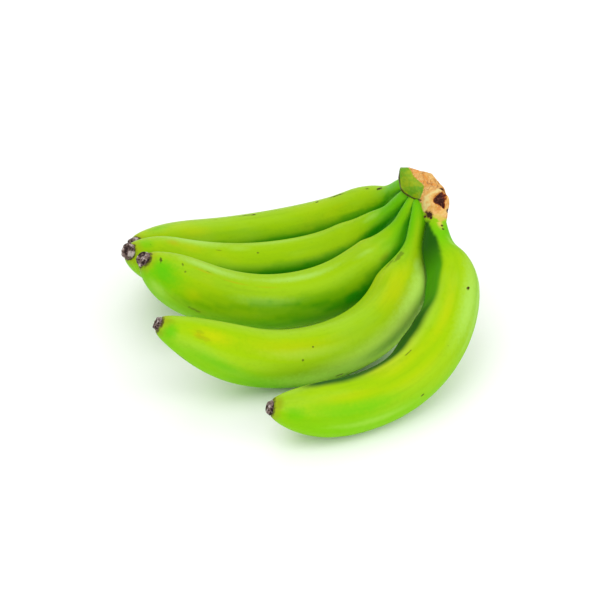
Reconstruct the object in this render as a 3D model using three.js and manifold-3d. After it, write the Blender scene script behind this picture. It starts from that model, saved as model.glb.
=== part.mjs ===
// A hand of five green plantains, lying on its bellies with the crown raised.
// Millimetres, +Z up, surface at Z = 0. The crown is at +X and the blossom ends at -X.

import * as THREE from 'three';
import { ConvexGeometry } from 'three/addons/geometries/ConvexGeometry.js';
import { mergeVertices } from 'three/addons/utils/BufferGeometryUtils.js';
import Module from 'manifold-3d';

const wasm = await Module();
wasm.setup();

// Driving dimensions of each fruit.
// base: centre of its neck inside the crown. tip: centre of its green end.
// lean: turn of the plane it bends in, away from straight down (degrees).
// bend: whole turn of its centre line (degrees). hump: extra bend at its shoulder.
// girth: largest radius. shoulder: where it starts and stops swelling, 0 to 1 along it.
// taper: where it starts to narrow, and how bluntly.
// nudges: small local moves of the centre line, as [place, reach, x, y, z].
// stub: radius and length of its dried blossom end.
const FRUITS = [
	{
		base: [76, 78.3, 91.5], tip: [-121, 64.8, 48.5], lean: -48.5, bend: 137, hump: 1.2,
		girth: 19.3, shoulder: [0.098, 0.305], taper: [0.75, 2.3],
		nudges: [[0.105, 0.069, -1.4, 0.9, 1.3], [1, 0.13, 0.1, 0.2, 0.4]], stub: [6, 4.2],
	},
	{
		base: [76, 68.3, 86.3], tip: [-122, 28.3, 65.8], lean: -29.5, bend: 117, hump: 1.55,
		girth: 19.1, shoulder: [0.079, 0.282], taper: [0.83, 2.4],
		nudges: [[0, 0.08, -0.5, 0.1, 0.2], [0.148, 0.068, -2.9, 0.7, 1.1], [1, 0.13, 1.5, -0.2, -0.3]], stub: [6.5, 4.4],
	},
	{
		base: [81, 55.7, 87.4], tip: [-108, 2.2, 75.4], lean: -1, bend: 114, hump: 0.7,
		girth: 20.6, shoulder: [0.057, 0.213], taper: [0.74, 3.1],
		nudges: [[0, 0.08, -0.7, 0.2, 0.4], [0.182, 0.076, 1.2, -1.1, -1.6], [1, 0.13, 0.9, 0, 0]], stub: [6.4, 4.4],
	},
	{
		base: [84, 47.1, 89.1], tip: [-94, -54.9, 59.6], lean: 30, bend: 114, hump: 1,
		girth: 20.2, shoulder: [0.083, 0.229], taper: [0.74, 2],
		nudges: [[0, 0.08, 1.1, -0.3, -0.4], [0.137, 0.12, -0.6, 1.7, 2.5], [0.9, 0.14, 0.4, 1.2, 1.8]], stub: [5.6, 3],
	},
	{
		base: [94.5, 40.1, 89.6], tip: [-20.5, -102.4, 28.1], lean: 53.5, bend: 115, hump: 0.3,
		girth: 19.4, shoulder: [0, 0.25], taper: [0.74, 3],
		nudges: [[0, 0.08, 0.6, 1.6, 2.4], [0.1, 0.068, -5.2, -2, -2.9], [1, 0.13, 2, 0, 0]], stub: [5.9, 3.6],
	},
];
const SETTLE = 0.4; // how far the bellies press below the surface before they are flattened

// Shape shared by all fruits, along the length from 0 at the neck to 1 at the tip.
const NECK_RADIUS = 6.4;
const END_RADIUS = 6.7;
const HUMP_AT = 0.3;
const HUMP_WIDTH = 0.13;
const STRAIGHTER_TIP = 0.4;
const RIDGES = 5;
const RIDGE_HEIGHT = 0.034;
const SIDE_SQUEEZE = 0.96;

const NECK_LENGTH = 18; // part of each neck that belongs to the crown
const GAP = 0.3; // between faces that touch
const SIDES = 20;
const STATIONS = 34;

const STUB_SIDES = 14; // of the lumpy dried blossom ends

// Crown: corners of the cut block, its rounded knob and the pit in the knob.
const BLOCK = [
	[72.3, 72.9, 108.3], [71.2, 70.5, 100.9], [73, 66, 93.5], [78.8, 60.6, 91.2], [84.5, 56, 90.8],
	[77.3, 69.7, 110], [94.2, 75, 101], [102.4, 66.5, 94.7], [105, 58, 91], [88, 58, 101.6],
	[86, 49, 99.5], [98, 70, 88], [102, 60, 84], [74, 80, 98], [88, 78, 88],
];
const KNOB = [95.6, 42.5, 97.2];
const KNOB_RADIUS = 9.6;
const SOCKET_RADIUS = 6.6; // round the root of each neck
const PIT = [97.2, 35.2, 103];
const PIT_RADIUS = 4.8;

const skin = new THREE.MeshStandardMaterial({ color: 0x93c21c, roughness: 0.45, metalness: 0 });
const crownFlesh = new THREE.MeshStandardMaterial({ color: 0xc09452, roughness: 0.85, metalness: 0 });
const driedEnd = new THREE.MeshStandardMaterial({ color: 0x4f4136, roughness: 0.95, metalness: 0 });

const clamp = THREE.MathUtils.clamp;
const smooth = (x, low, high) => THREE.MathUtils.smoothstep(x, low, high);

// Repeatable random numbers between 0 and 1.
function randomSource(seed) {
	let state = seed;
	return () => {
		state = (state * 1664525 + 1013904223) % 4294967296;
		return state / 4294967296;
	};
}

// Centre line of a fruit: an arc between base and tip that bends most at the shoulder.
function centreLine(fruit, steps) {
	const weight = (t) => {
		const hump = 1 + fruit.hump * Math.exp(-(((t - HUMP_AT) / HUMP_WIDTH) ** 2));
		const tail = 1 - STRAIGHTER_TIP * smooth(t, 0.6, 1);
		return hump * tail * clamp((t - 0.02) / 0.06, 0, 1);
	};
	const turn = [0];
	for (let i = 1; i <= steps; i++) {
		turn.push(turn[i - 1] + (weight((i - 1) / steps) + weight(i / steps)) / 2);
	}
	const bend = THREE.MathUtils.degToRad(fruit.bend);
	const flat = [new THREE.Vector2(0, 0)];
	for (let i = 1; i <= steps; i++) {
		const a = (bend * turn[i - 1]) / turn[steps];
		const b = (bend * turn[i]) / turn[steps];
		const last = flat[i - 1];
		const x = last.x + (Math.cos(a) + Math.cos(b)) / 2;
		const y = last.y + (Math.sin(a) + Math.sin(b)) / 2;
		flat.push(new THREE.Vector2(x, y));
	}
	const end = flat[steps];
	const size = end.length();
	const along = end.clone().divideScalar(size);

	const base = new THREE.Vector3(...fruit.base);
	const chord = new THREE.Vector3(...fruit.tip).sub(base);
	const length = chord.length();
	const direction = chord.clone().normalize();
	const down = new THREE.Vector3(0, 0, -1).addScaledVector(direction, direction.z).normalize();
	const side = direction.clone().cross(down);
	const lean = THREE.MathUtils.degToRad(fruit.lean);
	const sag = down.multiplyScalar(Math.cos(lean)).addScaledVector(side, Math.sin(lean));

	const points = flat.map((p, k) => {
		const forward = p.dot(along) / size;
		const below = (p.x * along.y - p.y * along.x) / size;
		const point = base.clone().addScaledVector(chord, forward).addScaledVector(sag, below * length);
		point.z -= SETTLE;
		for (const [place, reach, x, y, z] of fruit.nudges) {
			point.addScaledVector(new THREE.Vector3(x, y, z), Math.exp(-(((k / steps - place) / reach) ** 2)));
		}
		return point;
	});
	return { curve: new THREE.CatmullRomCurve3(points), sag };
}

// Radius at t: neck, swelling at the shoulder, even body, blunt taper to the tip.
function radiusAt(t, { girth, shoulder, taper: [start, power] }) {
	const body = NECK_RADIUS + (girth - NECK_RADIUS) * smooth(t, ...shoulder);
	const taper = clamp((t - start) / (1 - start), 0, 1) ** power;
	return END_RADIUS + (body - END_RADIUS) * (1 - taper);
}

// One ring of points round the centre line, with the soft ridges of the skin.
function ringAt(line, t, fruit, grow = 0) {
	const centre = line.curve.getPointAt(t);
	const tangent = line.curve.getTangentAt(t);
	const outer = line.sag.clone().addScaledVector(tangent, -line.sag.dot(tangent)).normalize();
	const across = tangent.clone().cross(outer);
	const ridge = RIDGE_HEIGHT * smooth(t, 0.1, 0.28) * (1 - 0.6 * smooth(t, 0.85, 1));
	const ring = [];
	for (let i = 0; i < SIDES; i++) {
		const angle = (2 * Math.PI * i) / SIDES;
		const r = radiusAt(t, fruit) * (1 + ridge * Math.cos(RIDGES * angle)) + grow;
		const squeeze = THREE.MathUtils.lerp(1, SIDE_SQUEEZE, smooth(t, 0.08, 0.2));
		ring.push(
			centre.clone()
				.addScaledVector(outer, r * Math.cos(angle))
				.addScaledVector(across, r * squeeze * Math.sin(angle)),
		);
	}
	return ring;
}

// Closed skin over a row of rings, with a flat face at each end.
function loft(rings) {
	const sides = rings[0].length;
	const average = (ring) => ring.reduce((sum, p) => sum.add(p), new THREE.Vector3()).divideScalar(sides);
	const points = [...rings.flat(), average(rings[0]), average(rings.at(-1))];
	const first = rings.length * sides;
	const index = [];
	for (let i = 0; i < sides; i++) {
		const j = (i + 1) % sides;
		for (let k = 0; k + 1 < rings.length; k++) {
			const [a, b, c, d] = [k * sides + i, k * sides + j, (k + 1) * sides + j, (k + 1) * sides + i];
			index.push(a, b, c, a, c, d);
		}
		const last = (rings.length - 1) * sides;
		index.push(first, j, i, first + 1, last + i, last + j);
	}
	const geometry = new THREE.BufferGeometry().setFromPoints(points);
	geometry.setIndex(index);
	return geometry;
}

function toSolid(geometry) {
	const bare = geometry.clone();
	bare.deleteAttribute('normal');
	bare.deleteAttribute('uv');
	const merged = mergeVertices(bare, 1e-4);
	return new wasm.Manifold(
		new wasm.Mesh({
			numProp: 3,
			vertProperties: new Float32Array(merged.attributes.position.array),
			triVerts: new Uint32Array(merged.index.array),
		}),
	);
}

function toMesh(solid, name, material) {
	const { vertProperties, triVerts } = solid.getMesh();
	const geometry = new THREE.BufferGeometry();
	geometry.setAttribute('position', new THREE.BufferAttribute(vertProperties, 3));
	geometry.setIndex(new THREE.BufferAttribute(triVerts, 1));
	geometry.computeVertexNormals();
	const mesh = new THREE.Mesh(geometry, material);
	mesh.name = name;
	return mesh;
}

// Rings of a fruit between two places on its length, bunched where the shape changes.
function fruitRings(line, fruit, from, to, count, grow = 0) {
	const rings = [];
	for (let i = 0; i <= count; i++) {
		const u = i / count;
		const eased = u + 0.06 * Math.sin(2 * Math.PI * u) * -1;
		rings.push(ringAt(line, from + (to - from) * eased, fruit, grow));
	}
	return rings;
}

// A slab under the surface, used to flatten whatever reaches below it.
const ground = toSolid(new THREE.BoxGeometry(600, 600, 60).translate(0, 0, -30));

const lines = FRUITS.map((fruit) => centreLine(fruit, 120));
const neckEnds = lines.map((line) => NECK_LENGTH / line.curve.getLength());

// Fruits, each cleared of the ones before it where they press together.
const fruits = FRUITS.map((fruit, i) => {
	const start = neckEnds[i] + GAP / lines[i].curve.getLength();
	let solid = toSolid(loft(fruitRings(lines[i], fruit, start, 1, STATIONS)));
	solid = solid.subtract(ground);
	if (i > 0) {
		const neighbour = fruitRings(lines[i - 1], FRUITS[i - 1], 0.05, 1, STATIONS, GAP + 0.05);
		solid = solid.subtract(toSolid(loft(neighbour)));
	}
	return solid;
});

// Crown: the cut block, the knob and the five necks grown together.
function block() {
	const corners = BLOCK.map((p) => new THREE.Vector3(...p));
	const balls = [[...KNOB, KNOB_RADIUS], ...FRUITS.map(({ base }) => [...base, SOCKET_RADIUS])];
	for (const [x, y, z, radius] of balls) {
		const sphere = new THREE.IcosahedronGeometry(radius, 2).translate(x, y, z).attributes.position;
		for (let i = 0; i < sphere.count; i++) {
			corners.push(new THREE.Vector3().fromBufferAttribute(sphere, i));
		}
	}
	return new ConvexGeometry(corners);
}
let crown = toSolid(block());
FRUITS.forEach((fruit, i) => {
	crown = crown.add(toSolid(loft(fruitRings(lines[i], fruit, 0, neckEnds[i], 5))));
});
crown = crown.subtract(toSolid(new THREE.IcosahedronGeometry(PIT_RADIUS, 2).translate(...PIT)));

// Dried blossom end beyond a fruit's tip.
function stub(line, [radius, length], seed) {
	const random = randomSource(seed);
	const tangent = line.curve.getTangentAt(1);
	const start = line.curve.getPointAt(1).addScaledVector(tangent, GAP);
	const outer = line.sag.clone().addScaledVector(tangent, -line.sag.dot(tangent)).normalize();
	const across = tangent.clone().cross(outer);
	const profile = [[0, 0.96], [0.2, 1.02], [0.5, 0.97], [0.8, 1], [1, 0.78]];
	const rings = profile.map(([u, r], k) => {
		const ring = [];
		for (let i = 0; i < STUB_SIDES; i++) {
			const angle = (2 * Math.PI * i) / STUB_SIDES;
			const lump = k === 0 ? 1 : 0.9 + 0.2 * random();
			ring.push(
				start.clone()
					.addScaledVector(tangent, u * length * (k < 3 ? 1 : 0.88 + 0.12 * lump))
					.addScaledVector(outer, r * radius * lump * Math.cos(angle))
					.addScaledVector(across, r * radius * lump * Math.sin(angle)),
			);
		}
		return ring;
	});
	return toSolid(loft(rings));
}

const bunch = new THREE.Group();
bunch.add(toMesh(crown, 'crown', crownFlesh));
fruits.forEach((solid, i) => bunch.add(toMesh(solid, `finger_${i + 1}`, skin)));
lines.forEach((line, i) => bunch.add(toMesh(stub(line, FRUITS[i].stub, 11 + i), `tip_${i + 1}`, driedEnd)));

// The origin is on the surface, under the middle of the bunch.
const middle = new THREE.Box3().setFromObject(bunch).getCenter(new THREE.Vector3());
bunch.position.set(-middle.x, -middle.y, 0);

export default bunch;
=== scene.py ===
import math

import bpy
import numpy as np
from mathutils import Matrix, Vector, noise
from mathutils.bvhtree import BVHTree


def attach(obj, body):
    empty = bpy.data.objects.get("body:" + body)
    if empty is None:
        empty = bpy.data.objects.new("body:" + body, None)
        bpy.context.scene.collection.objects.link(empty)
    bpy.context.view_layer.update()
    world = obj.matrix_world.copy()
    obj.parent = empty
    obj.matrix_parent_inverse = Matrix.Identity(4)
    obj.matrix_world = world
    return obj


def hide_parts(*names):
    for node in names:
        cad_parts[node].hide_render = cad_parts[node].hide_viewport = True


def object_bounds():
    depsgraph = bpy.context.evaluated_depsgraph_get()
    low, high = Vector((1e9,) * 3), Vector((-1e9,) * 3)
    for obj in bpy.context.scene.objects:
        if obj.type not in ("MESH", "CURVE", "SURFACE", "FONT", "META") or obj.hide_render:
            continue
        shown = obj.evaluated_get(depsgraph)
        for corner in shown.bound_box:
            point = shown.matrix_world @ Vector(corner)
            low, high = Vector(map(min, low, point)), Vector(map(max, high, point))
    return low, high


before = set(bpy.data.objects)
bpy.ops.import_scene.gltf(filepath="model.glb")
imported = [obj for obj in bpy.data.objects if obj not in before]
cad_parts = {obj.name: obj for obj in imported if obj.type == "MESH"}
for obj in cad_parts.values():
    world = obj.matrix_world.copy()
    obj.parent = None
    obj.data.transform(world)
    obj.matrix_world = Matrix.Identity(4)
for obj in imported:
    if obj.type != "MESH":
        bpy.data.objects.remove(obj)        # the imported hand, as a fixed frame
cadLow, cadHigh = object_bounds()
print("frame loaded:", sorted(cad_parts))


# helpers


def mm(*values):
    return Vector([v * 0.001 for v in values])


def smooth(x, low, high):
    x = np.clip((x - low) / (high - low), 0, 1)
    return x * x * (3 - 2 * x)


def nothingSelected():
    if bpy.context.object and bpy.context.object.mode != "OBJECT":
        bpy.ops.object.mode_set(mode="OBJECT")
    bpy.ops.object.select_all(action="DESELECT")


def pick(piece):
    nothingSelected()
    piece.select_set(True)
    bpy.context.view_layer.objects.active = piece


def applyModifier(piece, kind, **settings):
    pick(piece)
    modifier = piece.modifiers.new(kind.lower(), kind)
    for name, value in settings.items():
        setattr(modifier, name, value)
    bpy.ops.object.modifier_apply(modifier=modifier.name)


def points(piece):
    flat = np.zeros(len(piece.data.vertices) * 3)
    piece.data.vertices.foreach_get("co", flat)
    return flat.reshape(-1, 3)


def movePoints(piece, where):
    piece.data.vertices.foreach_set("co", np.asarray(where).ravel())
    piece.data.update()


def paint(piece, name, values):
    layer = piece.data.attributes.new(name, "FLOAT", "POINT")
    layer.data.foreach_set("value", np.asarray(values, dtype=np.float32))


def paintVector(piece, name, values):
    layer = piece.data.attributes.new(name, "FLOAT_VECTOR", "POINT")
    layer.data.foreach_set("vector", np.asarray(values, dtype=np.float32).ravel())


def finishPiece(piece, name, slot, material, *nodes):
    pick(piece)
    bpy.ops.object.mode_set(mode="EDIT")
    bpy.ops.mesh.select_all(action="SELECT")
    bpy.ops.mesh.remove_doubles(threshold=1e-6)
    bpy.ops.mesh.normals_make_consistent(inside=False)
    bpy.ops.object.mode_set(mode="OBJECT")
    bpy.ops.object.shade_smooth()
    piece.name = piece.data.name = name
    piece.data.materials.clear()
    piece.data.materials.append(material)
    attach(piece, "root")
    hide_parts(*nodes)


# fruit shape

bunchShift = np.array([1.567, -20.299, 0.0])   # mm, puts the middle of the bunch over the origin

fruitShape = {
    "neckRadius": 6.4, "endRadius": 6.7, "humpAt": 0.3, "humpWidth": 0.13,
    "straighterTip": 0.4, "ridgeHeight": 0.034, "sideSqueeze": 0.96, "settle": 0.4,
    "slimNeck": 0.88, "slimNeckTo": 0.05, "slimTip": 0.12, "slimTipFrom": 0.98, "wander": 0.012,
    "pressedSpread": 0.6, "skinGap": 0.3, "neighbourShare": 0.985, "freeNeck": 12,
    "sides": 40, "steps": 66, "intoCrown": 0.035,
}
slimNecks = 4            # the near fruit keeps its full neck

# one entry for each fruit, from the far one to the near one
# places along a fruit run from 0 at the crown to 1 at the tip, angles round it in degrees, 0 on the belly
# base and tip: ends of the centre line in mm; lean and bend in degrees; hump: sharper bend near the neck
# shoulder: where the neck widens; taper: where the tip narrows, and how suddenly; stub: radius, length in mm
# nudges: small moves of the centre line: place, reach, x, y, z
# pressed: skin flattened or filled out beside a neighbour: place, reach, angle, mm
# marks: scars and scratches: place, angle, half length mm, half width mm, strength
# tints: soft patches of a skin tone, laid out like the marks; the deep green ones are painted shade, the light and
# bright ones painted light, the pale ones painted sheen
# shadeFrom: the dark flank turned to a neighbour starts at this angle: place, angle
fruits = [
    {
        "base": (76, 78.3, 91.5), "tip": (-121, 64.8, 48.5), "lean": -48.5, "bend": 137, "hump": 1.2,
        "girth": 19.3, "shoulder": (0.098, 0.305), "taper": (0.75, 2.3), "stub": (5.5, 3.8),
        "nudges": [(0.105, 0.069, -1.4, 0.9, 1.3), (1, 0.13, 0.1, 0.2, 0.4)],
        "pressed": [(0.2, 0.065, 250, 2.4), (0.3, 0.06, 254, 1.0)],
        "marks": [
            (0.626, 234, 10, 0.8, 1.0), (0.606, 230, 2.4, 1.0, 1.0), (0.404, 234, 1.8, 2.0, 1.0),
            (0.337, 238, 8, 2.2, 0.85), (0.312, 234, 4, 0.8, 0.7), (0.212, 240, 4, 1.2, 0.7),
            (0.154, 242, 5, 1.8, 1.0), (0.733, 230, 3, 0.6, 0.4),
        ],
        "tints": [
            ("green", 0.93, 236, 16, 8, 0.45), ("yellow", 0.83, 195, 26, 9, 0.5),
            ("pale", 0.3, 262, 26, 4, 0.6), ("shadeGreen", 0.115, 154, 15, 4, 0.8),
            ("yellow", 0.42, 222, 40, 10, 0.25),
        ],
    },
    {
        "base": (76, 68.3, 86.3), "tip": (-122, 28.3, 65.8), "lean": -29.5, "bend": 117, "hump": 1.55,
        "girth": 19.1, "shoulder": (0.079, 0.282), "taper": (0.83, 2.4), "stub": (6.0, 4.0),
        "nudges": [(0, 0.08, -0.5, 0.1, 0.2), (0.148, 0.068, -2.9, 0.7, 1.1), (1, 0.13, 1.5, -0.2, -0.3)],
        "pressed": [(0.095, 0.05, 30, 1.6)],
        "marks": [
            (0.577, 186, 1.3, 1.1, 0.65), (0.711, 192, 3.5, 0.8, 0.35),
        ],
        "tints": [
            ("green", 0.97, 196, 10, 8, 0.5), ("pale", 0.8, 214, 44, 8, 0.95),
            ("orange", 0.885, 198, 10, 5, 0.45), ("yellow", 0.82, 190, 22, 7, 0.5),
            ("pale", 0.5, 216, 50, 4, 0.5), ("pale", 0.13, 186, 14, 4, 0.5), ("shadeGreen", 0.09, 96, 14, 4.5, 0.8),
            ("pale", 0.64, 200, 16, 4, 0.35),
        ],
    },
    {
        "base": (81, 55.7, 87.4), "tip": (-108, 2.2, 75.4), "lean": -1, "bend": 114, "hump": 0.7,
        "girth": 20.6, "shoulder": (0.057, 0.213), "taper": (0.74, 3.1), "stub": (5.6, 3.8),
        "nudges": [(0, 0.08, -0.7, 0.2, 0.4), (0.182, 0.076, 1.2, -1.1, -1.6), (1, 0.13, 0.9, 0, 0)],
        "pressed": [(0.1, 0.04, 216, 1.0)],
        "marks": [
            (0.975, 146, 1.2, 2.4, 0.8), (0.913, 156, 1.0, 2.2, 0.6), (0.901, 138, 1.0, 1.4, 0.6),
            (0.815, 74, 6, 1.2, 0.4), (0.819, 162, 3, 0.6, 0.4),
        ],
        "tints": [
            ("green", 0.95, 104, 28, 18, 0.8), ("green", 0.965, 116, 12, 9, 0.6),
            ("pale", 0.93, 56, 15, 7, 0.9), ("pale", 0.82, 180, 54, 7, 0.95),
            ("pale", 0.47, 178, 56, 5.5, 0.85), ("orange", 0.84, 158, 14, 1.6, 0.5),
            ("orange", 0.72, 156, 18, 1.4, 0.5), ("orange", 0.6, 155, 16, 1.3, 0.35),
            ("yellow", 0.845, 100, 10, 7, 0.55), ("pale", 0.6, 124, 42, 6, 0.6),
            ("green", 0.55, 74, 60, 9, 0.6), ("orange", 0.8, 76, 9, 3, 0.3), ("olive", 0.165, 122, 9, 5, 0.55),
            ("pale", 0.2, 160, 18, 4, 0.5),
        ],
    },
    {
        "base": (84, 47.1, 89.1), "tip": (-94, -54.9, 59.6), "lean": 30, "bend": 114, "hump": 1,
        "girth": 20.2, "shoulder": (0.083, 0.229), "taper": (0.74, 2), "stub": (4.7, 2.6),
        "nudges": [(0, 0.08, 1.1, -0.3, -0.4), (0.137, 0.12, -0.6, 1.7, 2.5), (0.9, 0.14, 0.4, 1.2, 1.8)],
        "marks": [
            (0.892, 96, 7, 2.4, 0.14), (0.905, 110, 4, 1.6, 0.16), (0.145, 162, 9, 3.4, 0.45),
            (0.172, 178, 9, 2.4, 0.35), (0.579, 112, 1.1, 1.0, 0.75), (0.613, 88, 1.1, 1.0, 0.65),
            (0.911, 4, 6, 0.7, 0.8), (0.508, 28, 4, 1.4, 0.6),
        ],
        "tints": [
            ("green", 0.975, 80, 8, 9, 0.75), ("olive", 0.985, 122, 8, 5, 0.3),
            ("yellow", 0.87, 108, 24, 8, 0.9), ("yellow", 0.64, 112, 56, 11, 0.6),
            ("green", 0.83, 52, 40, 8, 0.55), ("pale", 0.6, 100, 50, 6, 0.3), ("green", 0.55, 40, 60, 6, 0.4),
            # the light and bright patches here are painted light on the flank that the fifth fruit shades
            ("pale", 0.24, 78, 34, 12, 0.95), ("light", 0.36, 34, 44, 11, 0.9), ("light", 0.2, 44, 30, 8, 0.9),
            ("paintedLight", 0.22, 68, 34, 13, 0.85), ("paintedLight", 0.33, 56, 48, 17, 0.95),
            ("paintedLight", 0.45, 52, 50, 15, 0.8), ("light", 0.57, 40, 44, 11, 0.6),
            ("yellow", 0.25, 128, 30, 8, 0.5), ("pale", 0.36, 56, 34, 8, 0.7), ("pale", 0.16, 92, 12, 4, 0.6),
            ("orange", 0.905, 100, 7, 3, 0.35),
        ],
    },
    {
        "base": (94.5, 40.1, 89.6), "tip": (-20.5, -102.4, 28.1), "lean": 53.5, "bend": 115, "hump": 0.3,
        "girth": 19.4, "shoulder": (0, 0.25), "taper": (0.74, 3), "stub": (5.1, 3.0),
        "nudges": [(0, 0.08, 0.6, 1.6, 2.4), (0.1, 0.068, -5.2, -2, -2.9), (1, 0.13, 2, 0, 0)],
        "pressed": [(0.2, 0.07, 170, -3.0), (0.29, 0.05, 168, -1.6), (0.4, 0.06, 166, 3.4), (0.49, 0.055, 180, 3.0)],
        "marks": [
            (0.269, 78, 1.6, 1.4, 1.0), (0.553, 130, 5, 0.8, 0.6), (0.588, 36, 1.8, 1.2, 0.8),
            (0.053, 76, 0.9, 1.7, 0.9), (0.064, 74, 0.9, 1.3, 0.8),
        ],
        "tints": [
            ("pale", 0.31, 70, 44, 10, 0.85), ("pale", 0.26, 34, 56, 6, 0.8),
            ("yellow", 0.045, 100, 12, 6, 0.15), ("tan", 0.045, 86, 7, 3, 0.9),
            ("yellow", 0.36, 112, 46, 6, 0.6), ("pale", 0.12, 60, 14, 3.5, 0.6),
            ("green", 0.95, 62, 12, 8, 0.6), ("yellow", 0.8, 96, 34, 6, 0.5), ("green", 0.72, 70, 30, 7, 0.35),
            ("pale", 0.74, 34, 44, 4, 0.5), ("olive", 0.985, 100, 4, 8, 0.4),
            ("yellow", 0.58, 84, 44, 6, 0.35), ("green", 0.82, 72, 46, 10, 0.5),
        ],
        "shadeFrom": [
            (0, 185), (0.03, 160), (0.055, 134), (0.095, 102), (0.13, 112), (0.16, 134), (0.24, 138),
            (0.36, 143), (0.44, 142), (0.5, 144), (0.54, 142), (0.6, 142), (0.66, 140), (0.72, 136),
            (0.79, 131), (0.86, 132), (0.97, 130),
        ],
    },
]
cushionMiddle = np.array([88.0, 62.0, 97.0])   # mm, the necks run in towards it


def centreLine(fruit, steps=240):
    shape = fruitShape
    t = np.linspace(0, 1, steps + 1)
    weight = 1 + fruit["hump"] * np.exp(-(((t - shape["humpAt"]) / shape["humpWidth"]) ** 2))
    weight *= 1 - shape["straighterTip"] * smooth(t, 0.6, 1)
    weight *= np.clip((t - 0.02) / 0.06, 0, 1)
    turn = np.concatenate([[0], np.cumsum((weight[1:] + weight[:-1]) / 2)])
    turn = math.radians(fruit["bend"]) * turn / turn[-1]
    x = np.concatenate([[0], np.cumsum((np.cos(turn)[1:] + np.cos(turn)[:-1]) / 2)])
    y = np.concatenate([[0], np.cumsum((np.sin(turn)[1:] + np.sin(turn)[:-1]) / 2)])
    size = math.hypot(x[-1], y[-1])
    ax, ay = x[-1] / size, y[-1] / size
    base, tip = np.array(fruit["base"], float), np.array(fruit["tip"], float)
    chord = tip - base
    length = np.linalg.norm(chord)
    along = chord / length
    down = np.array([0, 0, -1.0]) + along * along[2]
    down /= np.linalg.norm(down)
    side = np.cross(along, down)
    lean = math.radians(fruit["lean"])
    sag = down * math.cos(lean) + side * math.sin(lean)
    forward, below = (x * ax + y * ay) / size, (x * ay - y * ax) / size
    line = base + forward[:, None] * chord + below[:, None] * length * sag
    line[:, 2] -= shape["settle"]
    for place, reach, *move in fruit["nudges"]:
        line += np.exp(-(((t - place) / reach) ** 2))[:, None] * np.array(move)
    return line, sag


def radiusAt(t, fruit):
    shape = fruitShape
    body = shape["neckRadius"] + (fruit["girth"] - shape["neckRadius"]) * smooth(t, *fruit["shoulder"])
    start, power = fruit["taper"]
    taper = np.clip((t - start) / (1 - start), 0, 1) ** power
    return shape["endRadius"] + (body - shape["endRadius"]) * (1 - taper)


def straightFruit():
    # a straight stalk of rings, one unit long, extruded upwards ring by ring
    shape = fruitShape
    nothingSelected()
    bpy.ops.mesh.primitive_circle_add(vertices=shape["sides"], radius=1, fill_type="NGON")
    piece = bpy.context.object
    bpy.ops.object.mode_set(mode="EDIT")
    bpy.ops.mesh.select_all(action="SELECT")
    for step in range(shape["steps"]):
        bpy.ops.mesh.extrude_region_move(TRANSFORM_OT_translate={"value": (0, 0, 1 / shape["steps"])})
    bpy.ops.mesh.inset(thickness=0.3)
    bpy.ops.mesh.inset(thickness=0.3)
    bpy.ops.object.mode_set(mode="OBJECT")
    return piece


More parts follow.
